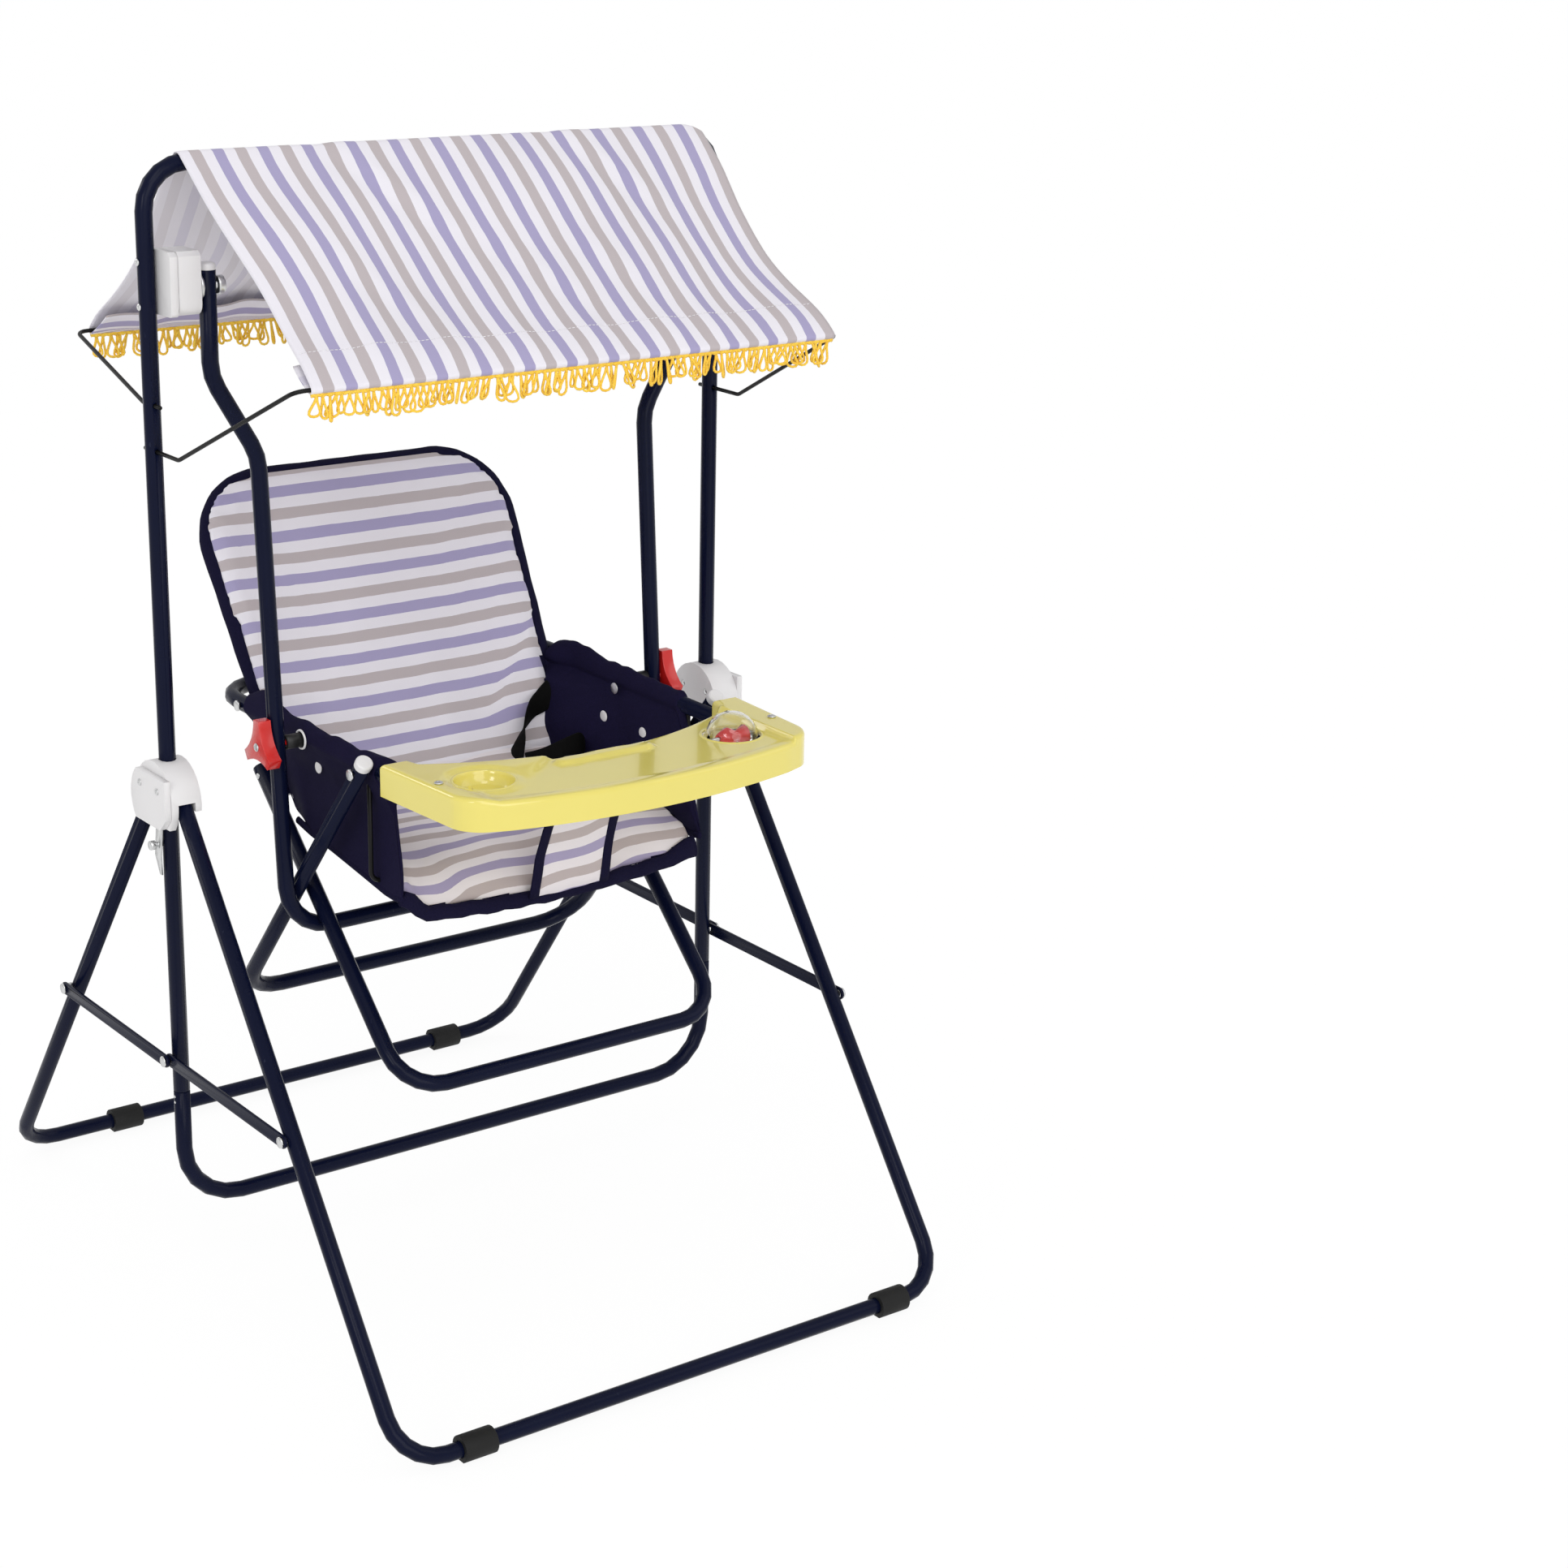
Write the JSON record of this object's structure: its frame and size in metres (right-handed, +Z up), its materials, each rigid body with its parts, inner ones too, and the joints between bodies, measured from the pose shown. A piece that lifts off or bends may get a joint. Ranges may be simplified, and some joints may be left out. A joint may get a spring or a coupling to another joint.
{
  "type": "child's canopy swing",
  "caption": "Folding tube stand with a striped fringed canopy and a hanging sling seat with backrest, arms, folding seat legs and a play tray with a rattle ball.",
  "frame": {"origin": "on the floor under the middle of the uprights, the bottom centre of the bounding box", "axes": "+X to the right seen from the front, -Y to the front (the tray's side), +Z up"},
  "size_m": [0.6658, 0.8578, 1.1268],
  "materials": {
    "navy_paint": "glossy dark navy paint",
    "white_plastic": "smooth moulded white",
    "black_rubber": "matt black",
    "black_plastic": "matt black",
    "zinc_steel": "bright zinc plate",
    "black_wire": "black coated wire",
    "striped_cloth": "woven, white, lavender and taupe stripes",
    "navy_cloth": "woven dark navy",
    "red_plastic": "glossy red",
    "yellow_plastic": "glossy yellow",
    "clear_plastic": "clear"
  },
  "bodies": {
    "stand": {"upper_arch": "navy_paint", "lower_bow": "navy_paint", "canopy_cover": "striped_cloth", "front_canopy_wire": "black_wire", "rear_canopy_wire": "black_wire", "swing_bracket_left": "white_plastic", "swing_bracket_right": "white_plastic", "pivot_bolt_left": "zinc_steel", "pivot_bolt_right": "zinc_steel", "upright_rivet_left": "zinc_steel", "upright_rivet_right": "zinc_steel"},
    "hubs": {"hub_left": "white_plastic", "hub_right": "white_plastic", "hub_cover_left": "white_plastic", "hub_cover_right": "white_plastic", "front_leg_pin_left": "zinc_steel", "front_leg_pin_right": "zinc_steel", "rear_leg_pin_left": "zinc_steel", "rear_leg_pin_right": "zinc_steel"},
    "latch_left": {"latch_lever_left": "zinc_steel"},
    "latch_right": {"latch_lever_right": "zinc_steel"},
    "front_legs": {"front_leg_frame": "navy_paint", "front_foot_left": "black_rubber", "front_foot_right": "black_rubber"},
    "rear_legs": {"rear_leg_frame": "navy_paint", "rear_foot_left": "black_rubber", "rear_foot_right": "black_rubber"},
    "front_links": {"front_link_left": "navy_paint", "front_link_right": "navy_paint", "front_link_rivet_left": "zinc_steel", "front_link_rivet_right": "zinc_steel"},
    "rear_links": {"rear_link_left": "navy_paint", "rear_link_right": "navy_paint", "rear_link_rivet_left": "zinc_steel", "rear_link_rivet_right": "zinc_steel"},
    "swing": {"hanger": "navy_paint", "clamp_spacer_left": "black_plastic", "clamp_spacer_right": "black_plastic", "arm_tube": "navy_paint", "back_tube": "navy_paint", "back_rivet_left": "zinc_steel", "back_rivet_right": "zinc_steel", "seat_wire": "black_wire", "back_pad": "striped_cloth", "seat_pad": "striped_cloth", "side_panel_left": "navy_cloth", "side_panel_right": "navy_cloth", "tray": "yellow_plastic", "rattle_axle": "zinc_steel", "seat_leg_a_rivet_left": "zinc_steel", "seat_leg_a_rivet_right": "zinc_steel", "seat_leg_b_rivet_left": "zinc_steel", "seat_leg_b_rivet_right": "zinc_steel"},
    "knob_left": {"clamp_knob_left": "red_plastic"},
    "knob_right": {"clamp_knob_right": "red_plastic"},
    "seat_leg_a": {"seat_leg_a": "navy_paint"},
    "seat_leg_b": {"seat_leg_b": "navy_paint"},
    "rattle": {"rattle_ball": "clear_plastic", "rattle_figure": "red_plastic"}
  },
  "joints": [
    {"name": "hub_slide", "type": "slide", "parent": "stand", "child": "hubs", "axis": [0, 0, 1], "range_m": [0, 0.27]},
    {"name": "front_leg_hinge", "type": "hinge", "parent": "hubs", "child": "front_legs", "pos_m": [0, -0.02, 0.54], "axis": [1, 0, 0], "range_deg": [0, 24.73]},
    {"name": "rear_leg_hinge", "type": "hinge", "parent": "hubs", "child": "rear_legs", "pos_m": [0, 0.02, 0.54], "axis": [-1, 0, 0], "range_deg": [0, 24.73]},
    {"name": "front_link_hinge", "type": "hinge", "parent": "stand", "child": "front_links", "pos_m": [0, 0, 0.262], "axis": [-1, 0, 0], "range_deg": [0, 65.96]},
    {"name": "rear_link_hinge", "type": "hinge", "parent": "stand", "child": "rear_links", "pos_m": [0, 0, 0.262], "axis": [1, 0, 0], "range_deg": [0, 65.96]},
    {"name": "latch_left_hinge", "type": "hinge", "parent": "hubs", "child": "latch_left", "pos_m": [-0.322, 0, 0.5023], "axis": [0, 1, 0], "range_deg": [0, 12], "stiffness_Nm_per_rad": 0.3},
    {"name": "latch_right_hinge", "type": "hinge", "parent": "hubs", "child": "latch_right", "pos_m": [0.322, 0, 0.5023], "axis": [0, -1, 0], "range_deg": [0, 12], "stiffness_Nm_per_rad": 0.3},
    {"name": "swing_hinge", "type": "hinge", "parent": "stand", "child": "swing", "pos_m": [0, -0.019, 1.008], "axis": [1, 0, 0], "range_deg": [-22, 22]},
    {"name": "knob_left_turn", "type": "hinge", "parent": "swing", "child": "knob_left", "pos_m": [-0.216, -0.03776, 0.574], "axis": [1, 0, 0], "continuous": true},
    {"name": "knob_right_turn", "type": "hinge", "parent": "swing", "child": "knob_right", "pos_m": [0.216, -0.03776, 0.574], "axis": [1, 0, 0], "continuous": true},
    {"name": "seat_leg_a_hinge", "type": "hinge", "parent": "swing", "child": "seat_leg_a", "pos_m": [0, 0.05546, 0.512], "axis": [-1, 0, 0], "range_deg": [0, 22]},
    {"name": "seat_leg_b_hinge", "type": "hinge", "parent": "swing", "child": "seat_leg_b", "pos_m": [0, -0.163, 0.575], "axis": [1, 0, 0], "range_deg": [0, 40]},
    {"name": "rattle_spin", "type": "hinge", "parent": "swing", "child": "rattle", "pos_m": [0.131, -0.292, 0.588], "axis": [1, 0, 0], "continuous": true}
  ],
  "couplings": [
    {"joint": "front_leg_hinge", "follows": "hub_slide", "rad_per_m": 1.5954},
    {"joint": "rear_leg_hinge", "follows": "hub_slide", "rad_per_m": 1.5954},
    {"joint": "front_link_hinge", "follows": "hub_slide", "rad_per_m": 4.2604},
    {"joint": "rear_link_hinge", "follows": "hub_slide", "rad_per_m": 4.2604}
  ]
}
